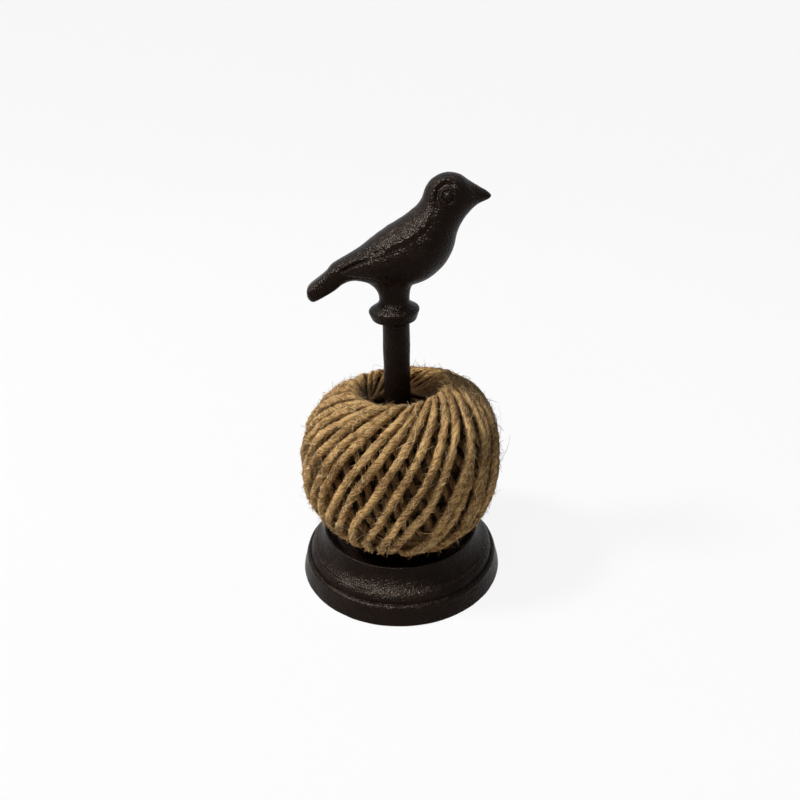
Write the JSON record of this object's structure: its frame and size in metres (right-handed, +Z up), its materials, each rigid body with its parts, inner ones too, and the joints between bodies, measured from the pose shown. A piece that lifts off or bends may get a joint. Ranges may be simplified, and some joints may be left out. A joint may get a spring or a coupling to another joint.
{
  "type": "twine holder",
  "caption": "Free-standing cast twine holder: a round dished foot, a post that a wound ball of twine turns on, and a screwed bird finial that comes off to change the ball.",
  "frame": {"origin": "centre of the foot's underside, on the surface that the holder stands on", "axes": "+Z up along the post, +X the way the bird looks"},
  "size_m": [0.095, 0.095, 0.1847],
  "materials": {
    "cast_iron": "dark brown-black lacquer over sand-cast iron, softly glossy and grainy",
    "plated_steel": "zinc plated",
    "jute_twine": "natural hairy jute, laid twine"
  },
  "bodies": {
    "base": {"base_casting": "cast_iron", "base_bolt": "plated_steel", "base_washer": "plated_steel", "spindle_post": "cast_iron"},
    "stud": {"finial_stud": "plated_steel"},
    "finial": {"bird_finial": "cast_iron"},
    "twine": {"twine_core": "jute_twine", "twine_winding": "jute_twine"}
  },
  "joints": [
    {"name": "twine_spin", "type": "hinge", "parent": "base", "child": "twine", "pos_m": [0, 0, 0], "axis": [0, 0, 1], "continuous": true},
    {"name": "finial_rise", "type": "slide", "parent": "base", "child": "stud", "axis": [0, 0, 1], "range_m": [0, 0.0063]},
    {"name": "finial_turn", "type": "hinge", "parent": "stud", "child": "finial", "pos_m": [0, 0, 0.1243], "axis": [0, 0, 1], "range_deg": [0, 2250]}
  ],
  "couplings": [
    {"joint": "finial_rise", "follows": "finial_turn", "m_per_rad": 0.00015915}
  ]
}
